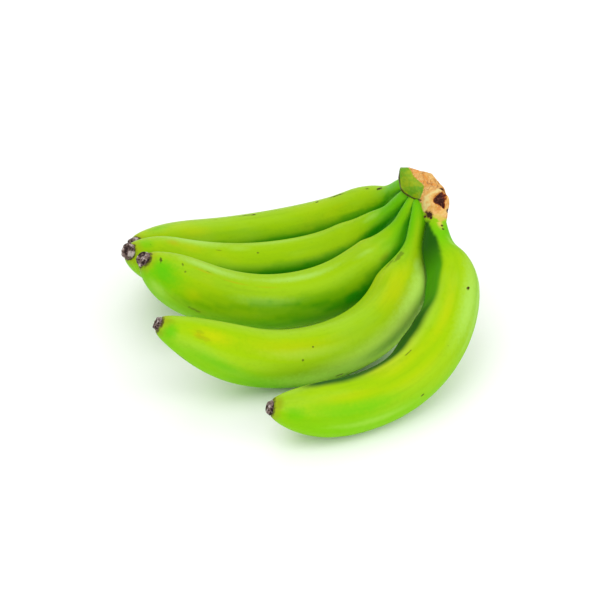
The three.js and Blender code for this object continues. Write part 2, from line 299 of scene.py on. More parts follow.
def layAlong(piece, index):
    # bends a straight fruit along its centre line and swells it to its girth
    fruit, shape = fruits[index], fruitShape
    line, sag = lines[index]
    length = np.linalg.norm(np.diff(line, axis=0), axis=1)
    arc = np.concatenate([[0], np.cumsum(length)])
    arc /= arc[-1]
    tangent = np.gradient(line, axis=0)
    tangent /= np.linalg.norm(tangent, axis=1)[:, None]

    straight = points(piece)
    t = -shape["intoCrown"] + (1 + shape["intoCrown"]) * straight[:, 2]
    angle = np.arctan2(straight[:, 1], straight[:, 0])
    reach = np.clip(np.hypot(straight[:, 0], straight[:, 1]), 0, 1)

    at = np.clip(t, 0, 1)
    centre = np.stack([np.interp(at, arc, line[:, k]) for k in range(3)], 1)
    inward = cushionMiddle - line[0]
    inward /= np.linalg.norm(inward)
    centre += inward * (np.clip(-t, 0, 1) * length.sum())[:, None]
    heading = np.stack([np.interp(at, arc, tangent[:, k]) for k in range(3)], 1)
    heading /= np.linalg.norm(heading, axis=1)[:, None]
    outer = sag - heading * (heading @ sag)[:, None]
    outer /= np.linalg.norm(outer, axis=1)[:, None]
    across = np.cross(heading, outer)

    ridge = shape["ridgeHeight"] * smooth(t, 0.1, 0.28) * (1 - 0.6 * smooth(t, 0.85, 1))
    radius = radiusAt(at, fruit) * (1 + ridge * np.cos(5 * angle)) * reach
    if index < slimNecks:
        radius *= shape["slimNeck"] + (1 - shape["slimNeck"]) * smooth(t, 0.0, shape["slimNeckTo"])
    radius *= 1 - shape["slimTip"] * smooth(t, shape["slimTipFrom"], 1.0)
    for place, width, side, amount in fruit.get("pressed", []):
        turn = (angle - math.radians(side) + math.pi) % (2 * math.pi) - math.pi
        radius += amount * np.exp(-((t - place) / width) ** 2 - (turn / shape["pressedSpread"]) ** 2) * reach
    wander = np.array([noise.noise(Vector((math.cos(a) * 1.3 + 7 * index, math.sin(a) * 1.3, p * 6)))
                       for a, p in zip(angle, t)])
    radius *= 1 + shape["wander"] * wander * smooth(t, 0.1, 0.3)
    squeeze = 1 + (shape["sideSqueeze"] - 1) * smooth(t, 0.08, 0.2)
    where = (centre + outer * (radius * np.cos(angle))[:, None]
             + across * (radius * squeeze * np.sin(angle))[:, None])

    if index:
        where = pushedOff(where, index - 1)
    where += bunchShift
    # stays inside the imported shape's box
    low, high = np.array(cadLow) * 1000 + (0.05, 0.05, 0), np.array(cadHigh) * 1000 - 0.05
    movePoints(piece, np.clip(where, low, high) * 0.001)

    lengthMm = length.sum()
    space = np.stack([radius * np.cos(angle), radius * np.sin(angle), t * lengthMm], 1) * 0.001
    paintVector(piece, "fruitSpace", space)
    paint(piece, "along", t)
    paint(piece, "ridge", (0.5 + 0.5 * np.cos(5 * angle)) * smooth(t, 0.12, 0.3))
    paint(piece, "belly", 0.5 + 0.5 * np.cos(angle))
    if "shadeFrom" in fruit:
        places, start = np.array(fruit["shadeFrom"]).T
        past = np.degrees(angle) % 360 - np.interp(t, places, start)
        # wide at the neck, where the flanks face each other, a narrow strip further on
        far = np.interp(t, [0.0, 0.36, 0.46, 0.56, 0.66, 1.0], [88, 84, 58, 38, 28, 20])
        shaded = smooth(past, -9, 14) * (1 - smooth(past, far, far * 1.4))
        paint(piece, "shaded", shaded * (1 - smooth(t, 0.86, 0.96)))


def pushedOff(where, neighbour):
    # keeps a fruit just off the skin of the one beside it, past the part where the necks meet
    shape, line = fruitShape, lines[neighbour][0]
    samples = line[::3]
    t = np.linspace(0, 1, len(samples))
    radius = radiusAt(t, fruits[neighbour]) * shape["neighbourShare"]
    offset = where[:, None, :] - samples[None]
    gap = np.linalg.norm(offset, axis=2) - radius[None]
    nearest = gap[:, shape["freeNeck"]:].argmin(1) + shape["freeNeck"]
    rows = np.arange(len(where))
    depth = np.clip(shape["skinGap"] - gap[rows, nearest], 0, None)
    away = offset[rows, nearest]
    away /= np.linalg.norm(away, axis=1)[:, None]
    return where + away * depth[:, None]


lines = [centreLine(fruit) for fruit in fruits]

# shader groups


def newGroup(name, inputs, outputs):
    group = bpy.data.node_groups.new(name, "ShaderNodeTree")
    for socketName, kind, value in inputs:
        socket = group.interface.new_socket(socketName, in_out="INPUT", socket_type=kind)
        if value is not None:
            socket.default_value = value
    for socketName, kind in outputs:
        group.interface.new_socket(socketName, in_out="OUTPUT", socket_type=kind)
    return group, group.nodes.new("NodeGroupInput"), group.nodes.new("NodeGroupOutput")


def mathNode(tree, operation, a, b=None):
    made = tree.nodes.new("ShaderNodeMath")
    made.operation = operation
    for k, value in enumerate((a, b)):
        if value is None:
            continue
        if isinstance(value, bpy.types.NodeSocket):
            tree.links.new(value, made.inputs[k])
        else:
            made.inputs[k].default_value = value
    return made.outputs[0]


def ramp(tree, value, low, high, toLow=0.0, toHigh=1.0):
    made = tree.nodes.new("ShaderNodeMapRange")
    made.interpolation_type = "SMOOTHSTEP"
    tree.links.new(value, made.inputs["Value"])
    for key, number in (("From Min", low), ("From Max", high), ("To Min", toLow), ("To Max", toHigh)):
        if isinstance(number, bpy.types.NodeSocket):
            tree.links.new(number, made.inputs[key])
        else:
            made.inputs[key].default_value = number
    return made.outputs[0]


def mixColour(tree, factor, a, b):
    made = tree.nodes.new("ShaderNodeMix")
    made.data_type = "RGBA"
    for socket, value in ((made.inputs[0], factor), (made.inputs[6], a), (made.inputs[7], b)):
        if isinstance(value, bpy.types.NodeSocket):
            tree.links.new(value, socket)
        else:
            socket.default_value = value if isinstance(value, float) else (*value, 1.0)
    return made.outputs[2]


def noiseAt(tree, vector, scale, stretch=(1, 1, 1), detail=3.0, roughness=0.55):
    mapping = tree.nodes.new("ShaderNodeMapping")
    mapping.inputs["Scale"].default_value = stretch
    tree.links.new(vector, mapping.inputs["Vector"])
    made = tree.nodes.new("ShaderNodeTexNoise")
    made.inputs["Scale"].default_value = scale
    made.inputs["Detail"].default_value = detail
    made.inputs["Roughness"].default_value = roughness
    tree.links.new(mapping.outputs[0], made.inputs["Vector"])
    return made.outputs["Fac"]


skinTones = {
    "lime": (0.31, 0.53, 0.0002),
    "green": (0.09, 0.47, 0.0003),
    # under: painted shade and painted floor bounce for the undersides
    "under": (0.25, 0.58, 0.004),
    # light and bright: painted light, lifting the fourth fruit's flank that the fifth fruit shades
    "light": (0.60, 0.94, 0.10),
    "paintedLight": (0.68, 1.0, 0.15),
    "tan": (0.66, 0.50, 0.09),
    "yellow": (0.46, 0.55, 0.0003),
    "orange": (0.45, 0.36, 0.002),
    # pale: waxy bloom at random, and painted sheen where the tints lay it
    "pale": (0.37, 0.64, 0.085),
    "olive": (0.19, 0.22, 0.002),
    # deep: painted shade, for skin between the fruits and the crevices at the necks
    "shadeGreen": (0.006, 0.25, 0.0003),
    "brown": (0.05, 0.024, 0.008),
    "streak": (0.13, 0.36, 0.001),
    "mottle": (0.12, 0.30, 0.001),
    "shadeNeck": (0.008, 0.08, 0.0003),
    "shadeShoulder": (0.05, 0.26, 0.0003),
    "shadeBelly": (0.003, 0.075, 0.0004),
    "tipOlive": (0.30, 0.26, 0.01),
    "tipBrown": (0.06, 0.03, 0.015),
}
skinFinish = {"specular": 0.05, "sheen": 0.02, "sheenRoughness": 0.4, "bumpStrength": 0.25, "bumpDepth": 0.0004}


def buildSkinGroup():
    # unripe skin: lime above, greener on the belly and neck, yellow and pale waxy patches, fine streaks
    group, given, out = newGroup(
        "unripeSkin",
        [("Vector", "NodeSocketVector", None), ("Belly", "NodeSocketFloat", 0.5), ("Green", "NodeSocketFloat", 0.0),
         ("Ridge", "NodeSocketFloat", 0.0), ("Yellowing", "NodeSocketFloat", 0.0)],
        [("Color", "NodeSocketColor"), ("Roughness", "NodeSocketFloat"), ("Height", "NodeSocketFloat")],
    )
    v, belly = given.outputs["Vector"], given.outputs["Belly"]
    broad = noiseAt(group, v, 24, (1, 1, 0.35), 2)
    streaks = noiseAt(group, v, 190, (1, 1, 0.05), 4, 0.6)
    mottle = noiseAt(group, v, 330, (1, 1, 0.8), 3, 0.6)

    green = mathNode(group, "MULTIPLY", mathNode(group, "SUBTRACT", broad, 0.5), 1.1)
    green = mathNode(group, "ADD", green, belly)
    green = mathNode(group, "MAXIMUM", ramp(group, green, 0.5, 1.1, 0.0, 0.7), given.outputs["Green"])
    colour = mixColour(group, green, skinTones["lime"], skinTones["green"])
    yellow = ramp(group, noiseAt(group, v, 17, (1, 1, 0.5), 3), 0.50, 0.70)
    yellow = mathNode(group, "MULTIPLY", yellow, ramp(group, belly, 0.25, 0.8, 0.75, 0.1))
    yellow = mathNode(group, "MAXIMUM", yellow, given.outputs["Yellowing"])
    colour = mixColour(group, yellow, colour, skinTones["yellow"])
    bloom = ramp(group, noiseAt(group, v, 31, (1, 1, 0.3), 4, 0.6), 0.48, 0.74)
    crest = ramp(group, given.outputs["Ridge"], 0.55, 1.0)
    bloom = mathNode(group, "MULTIPLY", bloom, 0.22)
    bloom = mathNode(group, "ADD", bloom, mathNode(group, "MULTIPLY", crest, 0.08))
    colour = mixColour(group, bloom, colour, skinTones["pale"])
    colour = mixColour(group, ramp(group, streaks, 0.42, 0.75, 0.0, 0.2), colour, skinTones["streak"])
    colour = mixColour(group, ramp(group, mottle, 0.5, 0.8, 0.0, 0.16), colour, skinTones["mottle"])
    # rubbed ridge crests turn a little olive
    rubbed = ramp(group, noiseAt(group, v, 45, (1, 1, 0.25), 3), 0.55, 0.68)
    rubbed = mathNode(group, "MULTIPLY", rubbed, ramp(group, given.outputs["Ridge"], 0.93, 1.0))
    colour = mixColour(group, mathNode(group, "MULTIPLY", rubbed, 0.15), colour, skinTones["olive"])

    specks = group.nodes.new("ShaderNodeTexVoronoi")
    specks.inputs["Scale"].default_value = 95
    group.links.new(v, specks.inputs["Vector"])
    sparse = ramp(group, noiseAt(group, v, 60, (1, 1, 1), 1), 0.57, 0.66)
    speck = mathNode(group, "MULTIPLY", ramp(group, specks.outputs["Distance"], 0.035, 0.08, 1.0, 0.0), sparse)
    colour = mixColour(group, mathNode(group, "MULTIPLY", speck, 0.55), colour, skinTones["brown"])

    group.links.new(colour, out.inputs["Color"])
    rough = ramp(group, mottle, 0.3, 0.7, 0.40, 0.52)
    group.links.new(mathNode(group, "ADD", rough, mathNode(group, "MULTIPLY", bloom, 0.2)), out.inputs["Roughness"])
    height = mathNode(group, "MULTIPLY", streaks, 0.6)
    height = mathNode(group, "ADD", height, mathNode(group, "MULTIPLY", mottle, 0.4))
    group.links.new(height, out.inputs["Height"])
    return group


def buildMarkGroup():
    # one scar: 1 inside an uneven oval at a place on the skin, 0 outside
    group, given, out = newGroup(
        "skinMark",
        [("Vector", "NodeSocketVector", None), ("Location", "NodeSocketVector", None),
         ("Rotation", "NodeSocketVector", None), ("Size", "NodeSocketVector", None),
         ("Strength", "NodeSocketFloat", 1.0), ("Core", "NodeSocketFloat", 0.45), ("Uneven", "NodeSocketFloat", 1.6)],
        [("Mask", "NodeSocketFloat")],
    )
    uneven = group.nodes.new("ShaderNodeTexNoise")
    uneven.inputs["Scale"].default_value = 420
    uneven.inputs["Detail"].default_value = 3
    group.links.new(given.outputs["Vector"], uneven.inputs["Vector"])
    mapping = group.nodes.new("ShaderNodeMapping")
    mapping.vector_type = "TEXTURE"
    for key, source in (("Vector", "Vector"), ("Location", "Location"), ("Rotation", "Rotation"), ("Scale", "Size")):
        group.links.new(given.outputs[source], mapping.inputs[key])
    distance = group.nodes.new("ShaderNodeVectorMath")
    distance.operation = "LENGTH"
    group.links.new(mapping.outputs[0], distance.inputs[0])
    waver = mathNode(group, "SUBTRACT", uneven.outputs["Fac"], 0.5)
    waver = mathNode(group, "MULTIPLY", waver, given.outputs["Uneven"])
    blurred = mathNode(group, "ADD", distance.outputs["Value"], waver)
    mask = ramp(group, blurred, given.outputs["Core"], 1.0, 1.0, 0.0)
    group.links.new(mathNode(group, "MULTIPLY", mask, given.outputs["Strength"]), out.inputs["Mask"])
    return group


skinGroup, markGroup = buildSkinGroup(), buildMarkGroup()


def newMaterial(name):
    material = bpy.data.materials.new(name)
    material.use_nodes = True
    tree = material.node_tree
    return material, tree, tree.nodes["Principled BSDF"]


def attribute(tree, name, output="Fac"):
    made = tree.nodes.new("ShaderNodeAttribute")
    made.attribute_name = name
    return made.outputs[output]


def bump(tree, height, strength, distance):
    made = tree.nodes.new("ShaderNodeBump")
    made.inputs["Strength"].default_value = strength
    made.inputs["Distance"].default_value = distance
    tree.links.new(height, made.inputs["Height"])
    return made.outputs[0]


def groupNode(tree, group):
    made = tree.nodes.new("ShaderNodeGroup")
    made.node_tree = group
    return made


def skinMaterial(index):
    fruit = fruits[index]
    material, tree, shader = newMaterial(f"plantainSkin{index + 1}")
    space, along = attribute(tree, "fruitSpace", "Vector"), attribute(tree, "along")
    skin = groupNode(tree, skinGroup)
    offset = tree.nodes.new("ShaderNodeVectorMath")
    offset.inputs[1].default_value = (0.37 * index, 0.11 * index, 0.23 * index)
    tree.links.new(space, offset.inputs[0])
    tree.links.new(offset.outputs[0], skin.inputs["Vector"])
    tree.links.new(attribute(tree, "belly"), skin.inputs["Belly"])
    tree.links.new(attribute(tree, "ridge"), skin.inputs["Ridge"])
    tree.links.new(ramp(tree, along, 0.06, 0.20, 0.8, 0.0), skin.inputs["Green"])
    if index == 4:
        tree.links.new(ramp(tree, along, 0.015, 0.075, 0.4, 0.0), skin.inputs["Yellowing"])

    colour = skin.outputs["Color"]
    lineLength = np.linalg.norm(np.diff(lines[index][0], axis=0), axis=1).sum()

    def patch(place, angle, length, width, strength, core, uneven):
        made = groupNode(tree, markGroup)
        tree.links.new(space, made.inputs["Vector"])
        r, a = float(radiusAt(np.array(place), fruit)), math.radians(angle)
        made.inputs["Location"].default_value = mm(r * math.cos(a), r * math.sin(a), place * lineLength)
        made.inputs["Rotation"].default_value = (0, 0, a)
        made.inputs["Size"].default_value = mm(max(6, width * 1.2), width, length)
        made.inputs["Strength"].default_value = strength
        made.inputs["Core"].default_value = core
        made.inputs["Uneven"].default_value = uneven
        return made.outputs[0]

    # patches of skin tone, with painted shade, painted light and painted sheen among them
    for tone, *tint in fruit["tints"]:
        uneven = 0.15 if tone == "paintedLight" else 0.5
        colour = mixColour(tree, patch(*tint, 0.0, uneven), colour, skinTones[tone])
    # painted shade and painted floor bounce: skin that faces down is mixed towards a saturated green
    under = ramp(tree, attribute(tree, "underside"), 0.35, 0.8, 0.0, 0.7)
    colour = mixColour(tree, under, colour, skinTones["under"])
    # painted shade: skin hidden from the sky by the fruits beside it is mixed towards a deep green
    sheltered = ramp(tree, attribute(tree, "sheltered"), 0.15, 0.75, 0.0, 0.95)
    colour = mixColour(tree, sheltered, colour, skinTones["shadeGreen"])
    if "shadeFrom" in fruit:
        shaded = ramp(tree, attribute(tree, "shaded"), 0.0, 1.0, 0.0, 0.97)
        depth = mixColour(tree, ramp(tree, along, 0.1, 0.2), skinTones["shadeNeck"], skinTones["shadeShoulder"])
        depth = mixColour(tree, ramp(tree, along, 0.27, 0.4), depth, skinTones["shadeBelly"])
        colour = mixColour(tree, shaded, colour, depth)
    # olive and brown creep in from the dried blossom end
    edge = mathNode(tree, "SUBTRACT", noiseAt(tree, space, 260, detail=4), 0.5)
    edge = mathNode(tree, "ADD", along, mathNode(tree, "MULTIPLY", edge, 0.02))
    colour = mixColour(tree, ramp(tree, edge, 0.975, 1.0, 0.0, 0.4), colour, skinTones["tipOlive"])
    colour = mixColour(tree, ramp(tree, edge, 0.995, 1.002, 0.0, 0.85), colour, skinTones["tipBrown"])
    marked = None
    for mark in fruit["marks"]:
        made = patch(*mark, 0.45, 1.6)
        marked = made if marked is None else mathNode(tree, "MAXIMUM", marked, made)
    colour = mixColour(tree, marked, colour, skinTones["brown"])
    tree.links.new(colour, shader.inputs["Base Color"])
    rough = mathNode(tree, "ADD", skin.outputs["Roughness"], mathNode(tree, "MULTIPLY", marked, 0.3))
    tree.links.new(rough, shader.inputs["Roughness"])
    height = mathNode(tree, "SUBTRACT", skin.outputs["Height"], mathNode(tree, "MULTIPLY", marked, 0.8))
    tree.links.new(bump(tree, height, skinFinish["bumpStrength"], skinFinish["bumpDepth"]), shader.inputs["Normal"])
    shader.inputs["Specular IOR Level"].default_value = skinFinish["specular"]
    shader.inputs["Sheen Weight"].default_value = skinFinish["sheen"]
    shader.inputs["Sheen Roughness"].default_value = skinFinish["sheenRoughness"]
    return material


# the five fruits

straight = straightFruit()
fruitPieces = []
for index in range(len(fruits)):
    piece = straight.copy()
    piece.data = straight.data.copy()
    bpy.context.scene.collection.objects.link(piece)
    layAlong(piece, index)
    fruitPieces.append(piece)
bpy.data.objects.remove(straight)

# rays sent out from each point of skin: how many, how far, from how high, and the flattest that counts
shelter = {"rays": 40, "reach": 0.06, "lift": 0.0008, "grazing": 0.1}
litFruit = {"index": 3, "from": -0.3, "to": 0.35, "sheltered": 0.95, "underside": 0.85}


def paintShelter(pieces):
    # how much of the sky each point of skin loses to the fruits beside it
    vertices, faces = [], []
    for piece in pieces:
        start = len(vertices)
        vertices += [v.co.copy() for v in piece.data.vertices]
        faces += [[start + k for k in face.vertices] for face in piece.data.polygons]
    tree = BVHTree.FromPolygons(vertices, faces)
    turn = math.pi * (3 - math.sqrt(5))
    rays = [Vector((math.cos(k * turn) * math.sqrt(1 - z * z), math.sin(k * turn) * math.sqrt(1 - z * z), z))
            for k, z in enumerate(np.linspace(0.98, -0.98, shelter["rays"]))]
    for piece in pieces:
        sheltered = []
        for vertex in piece.data.vertices:
            normal, total, blocked = vertex.normal, 0.0, 0.0
            start = vertex.co + normal * shelter["lift"]
            for ray in rays:
                weight = ray.dot(normal)
                if weight > shelter["grazing"]:
                    total += weight
                    if tree.ray_cast(start, ray, shelter["reach"])[0] is not None:
                        blocked += weight
            sheltered.append(blocked / total)
        sheltered = np.array(sheltered)
        # underside: how far the skin faces down, which drives the painted shade on the undersides
        underside = np.array([0.5 - 0.5 * v.normal.z for v in piece.data.vertices])
        if piece is pieces[litFruit["index"]]:
            # the right side of the fourth fruit stayed in the light
            lit = np.array([smooth(v.normal.x, litFruit["from"], litFruit["to"]) for v in piece.data.vertices])
            sheltered *= 1 - litFruit["sheltered"] * lit
            underside *= 1 - litFruit["underside"] * lit
        paint(piece, "sheltered", sheltered)
        paint(piece, "underside", underside)


for piece in fruitPieces:
    pick(piece)
    bpy.ops.object.mode_set(mode="EDIT")
    bpy.ops.mesh.select_all(action="SELECT")
    bpy.ops.mesh.normals_make_consistent(inside=False)
    bpy.ops.object.mode_set(mode="OBJECT")
paintShelter(fruitPieces)
for index, piece in enumerate(fruitPieces):
    applyModifier(piece, "SUBSURF", levels=1, render_levels=1)
    finishPiece(piece, f"fruit_{index + 1}", "skin", skinMaterial(index), f"finger_{index + 1}")
print("fruits done")

# crown

crownShape = {
    "corners": [
        (72.3, 72.9, 107.4), (71.2, 70.5, 100.9), (73, 66, 93.5), (78.8, 60.6, 91.2), (84.5, 56, 90.8),
        (77.3, 69.7, 109), (94.2, 75, 101), (102.4, 66.5, 94.7), (105, 58, 91), (88, 58, 101.6),
        (86, 49, 99.5), (98, 70, 88), (102, 60, 84), (74, 80, 98), (88, 78, 88),
    ],
    "cornerRadius": 1.0, "knob": (95.6, 42.5, 97.2), "knobRadius": 9.6,
    "pit": (97.2, 35.2, 103), "voxel": 0.55,
    # seen from the front and above: x, and height on a plane facing that way
    "capEdge": [(84.7, 102.0), (84.3, 105.5), (85.3, 109.2), (86.6, 112.6), (87.7, 116.4), (86.4, 118.4),
                (83.4, 121.0), (80.6, 124.0), (79.2, 127.4), (77.2, 129.8), (76.5, 134.0)],
    "rimEdge": [(70.6, 134.0), (70.9, 122.0), (71.6, 115.8), (74.5, 112.1), (78.9, 108.9), (84.0, 106.6),
                (85.2, 105.8)],
    "knobMiddle": (96.0, 102.8), "ringRadius": 8.4,
    "pitEdge": [(93.4, 106.7), (95.7, 108.8), (98.0, 110.6), (99.8, 111.2), (102.5, 109.6), (102.0, 106.7),
                (101.2, 103.8), (100.5, 100.2), (98.9, 101.0), (96.4, 102.7), (93.9, 103.8)],
    "darkSpots": [(103.7, 98.2, 1.5, 1.0), (90.4, 95.2, 2.3, 1.0), (88.6, 97.2, 1.3, 0.7),
                  (91.4, 93.2, 1.3, 0.9), (87.8, 94.2, 1.0, 0.8), (101.4, 114.6, 1.6, 1.0),
                  (102.6, 112.4, 1.6, 1.0), (103.8, 110.0, 1.4, 0.9), (101.0, 110.6, 1.2, 0.5)],
    "lip": [(72.3, 72.9, 106.0), (71.4, 70.5, 100.9), (73.2, 66, 93.9), (78.8, 60.6, 91.2), (84.2, 56.4, 90.0)],
    "lipOut": 5.2,
    # relief in mm
    "creaseDepth": 0.28, "lumpDepth": 0.30, "ringHeight": 0.40, "spotDepth": 0.45, "rimHeight": 0.35,
    "knobCreases": 0.18, "pitDepth": 4.4,
}
frontUp, frontOut = 0.559, 0.829   # the crown's drawings are made on a plane that faces front and up


def inBunch(point):
    return (np.array(point, float) + bunchShift) * 0.001


def ball(centre, radius, subdivisions):
    bpy.ops.mesh.primitive_ico_sphere_add(subdivisions=subdivisions, radius=radius * 0.001, location=inBunch(centre))
    return bpy.context.object


def hullOf(balls):
    nothingSelected()
    made = [ball(*b) for b in balls]
    for b in made:
        b.select_set(True)
    bpy.context.view_layer.objects.active = made[0]
    bpy.ops.object.join()
    bpy.ops.object.mode_set(mode="EDIT")
    bpy.ops.mesh.select_all(action="SELECT")
    bpy.ops.mesh.convex_hull()
    bpy.ops.object.mode_set(mode="OBJECT")
    bpy.ops.object.transform_apply(location=True, rotation=True, scale=True)
    return bpy.context.object


def frontPlane(where):
    # flattens points of the bunch onto that plane, in mm
    local = where * 1000 - bunchShift
    return local[:, 0], frontUp * local[:, 1] + frontOut * local[:, 2]


def toLine(corners, u, v):
    # distance to the nearest stretch of a line drawn through the corners
    nearest = np.full(len(u), 1e9)
    for (ua, va), (ub, vb) in zip(corners[:-1], corners[1:]):
        run = np.clip(((u - ua) * (ub - ua) + (v - va) * (vb - va)) / ((ub - ua) ** 2 + (vb - va) ** 2), 0, 1)
        nearest = np.minimum(nearest, np.hypot(u - ua - run * (ub - ua), v - va - run * (vb - va)))
    return nearest


def awayFrom(corners, u, v):
    # distance to a closed outline, negative inside it
    closed = corners + corners[:1]
    inside = np.zeros(len(u), bool)
    for (ua, va), (ub, vb) in zip(closed[:-1], closed[1:]):
        if va != vb:
            inside ^= ((va > v) != (vb > v)) & (u < (ub - ua) * (v - va) / (vb - va) + ua)
    return np.where(inside, -1, 1) * toLine(closed, u, v)


def buildCrown():
    shape = crownShape
    forward = np.array([0, -frontOut, frontUp])
    lip = [(np.array(p) + forward * shape["lipOut"], 0.8, 2) for p in shape["lip"]]
    block = hullOf([(p, shape["cornerRadius"], 2) for p in shape["corners"]] + lip)
    line = lines[4][0]
    collar, throat = line[4], line[9]
    knob = hullOf([(shape["knob"], shape["knobRadius"], 3), ((91, 52, 97), 8, 3), (collar, 7.3, 3), (throat, 6.9, 3)])
    pick(block)
    knob.select_set(True)
    bpy.ops.object.join()
    applyModifier(block, "REMESH", mode="VOXEL", voxel_size=shape["voxel"] * 0.001)
    applyModifier(block, "SMOOTH", factor=0.5, iterations=3)

    where = points(block)
    u, v = frontPlane(where)
    edge = np.array(sorted(shape["capEdge"], key=lambda p: p[1]))
    cap = smooth(np.interp(v, edge[:, 1], edge[:, 0]) - u, -0.7, 0.7)
    facing = np.array([n.vector[:] for n in block.data.vertex_normals])
    towardsFront = -facing[:, 1] * frontOut + facing[:, 2] * frontUp
    front, seen = smooth(towardsFront, 0.0, 0.3), smooth(towardsFront, -0.35, 0.05)

    du, dv = u - shape["knobMiddle"][0], v - shape["knobMiddle"][1]
    fromKnob = np.hypot(du, dv)
    # the pale ring is strong to the left and above, faint below
    wavy = np.array([noise.noise(Vector((a * 0.28, b * 0.28, 3))) for a, b in zip(u, v)])
    ring = np.exp(-((fromKnob - shape["ringRadius"] + 3.2 * wavy) / 2.0) ** 2) * front
    ring *= 0.55 + 0.45 * smooth((dv - du) / (fromKnob + 0.1), -0.9, 0.3)
    pit = smooth(-awayFrom(shape["pitEdge"], u, v), -1.5, 1.7) * front
    onKnob = 1 - smooth(fromKnob, 9.5, 12.0)
    nearRim = np.exp(-(toLine(shape["rimEdge"], u, v) / 0.75) ** 2)
    dark = np.zeros(len(u))
    for su, sv, size, strength in shape["darkSpots"]:
        dark = np.maximum(dark, strength * np.exp(-(((u - su) ** 2 + (v - sv) ** 2) / size ** 2)) * seen)

    # shape: sunken pit, raised ring, creased cut face, slightly proud rim of the green cap
    stretched = [Vector((p[0] * 260, p[1] * 150, p[2] * 330)) for p in where]
    creases = np.array([noise.ridged_multi_fractal(p, 0.9, 2.2, 3, 1.0, 2.0) for p in stretched]) - 1.2
    lumps = np.array([noise.noise(Vector(p) * 150) for p in where])
    cut = (1 - cap) * (1 - onKnob) * (v > 96)
    out = shape["creaseDepth"] * creases * cut + shape["lumpDepth"] * lumps * (0.4 + 0.6 * (1 - cap))
    out += shape["ringHeight"] * ring - shape["spotDepth"] * dark
    out += shape["rimHeight"] * nearRim * front
    out += shape["knobCreases"] * creases * onKnob
    neckSide = 1 - smooth(v, 89, 96)
    out *= 1 - neckSide
    middle, pitPlace = inBunch(shape["knob"]), inBunch(shape["pit"])
    inward = (middle - pitPlace) / np.linalg.norm(middle - pitPlace)
    where += facing * out[:, None] * 0.001 + inward * (pit * shape["pitDepth"])[:, None] * 0.001
    movePoints(block, where)

    paint(block, "cap", cap)
    paint(block, "ring", ring)
    paint(block, "pit", pit)
    paint(block, "rim", nearRim)
    paint(block, "dark", dark)
    paint(block, "knob", onKnob)
    slant = v + 0.35 * (u - 98)
    paint(block, "towardsNeck", (1 - smooth(slant, 91.0, 97.5)) * (u > 88))
    lower = slant - 0.35 * np.abs(u - 98) - 0.45 * np.clip(u - 98, 0, None)
    green = (1 - smooth(lower, 87.5, 93.5)) * (u > 88)
    besideKnob = smooth(fromKnob, 9.6, 10.8) * (1 - smooth(v + 0.6 * (u - 88), 101.0, 104.0)) * (u < 96)
    paint(block, "towardsGreen", np.maximum(green, besideKnob))
    # painted shade: the crown's lower left, in the gap beside the fifth fruit's neck
    gapShade = (1 - smooth(v, 89.0, 92.5)) * (1 - smooth(u, 90.2, 92.2)) * (u > 86)
    paint(block, "shaded", gapShade * seen)
    return block


crown = buildCrown()

crownTones = {
    "cut": ((0.58, 0.27, 0.06), (0.72, 0.43, 0.13)), "cutOrange": (0.66, 0.25, 0.035), "cutPale": (0.75, 0.55, 0.27),
    "wrinkle": (0.30, 0.12, 0.03), "knob": ((0.60, 0.25, 0.06), (0.76, 0.46, 0.16)), "knobOchre": (0.62, 0.36, 0.07),
    "ring": (0.72, 0.60, 0.24), "ringPale": (0.82, 0.70, 0.44), "cap": ((0.12, 0.31, 0.001), (0.26, 0.37, 0.001)),
    "capDark": (0.12, 0.25, 0.003), "neckYellow": (0.60, 0.48, 0.07), "neckGreen": (0.26, 0.52, 0.001),
    "gap": (0.010, 0.085, 0.0004), "rim": (0.06, 0.03, 0.012), "spotEdge": (0.26, 0.09, 0.02),
    "spot": (0.04, 0.014, 0.008), "pitEdge": (0.60, 0.22, 0.02), "pitWall": (0.20, 0.025, 0.006),
    "pitFloor": ((0.03, 0.006, 0.004), (0.13, 0.04, 0.025)),
}
crownFinish = {"specular": 0.2, "bumpStrength": 0.6, "bumpDepth": 0.0007}


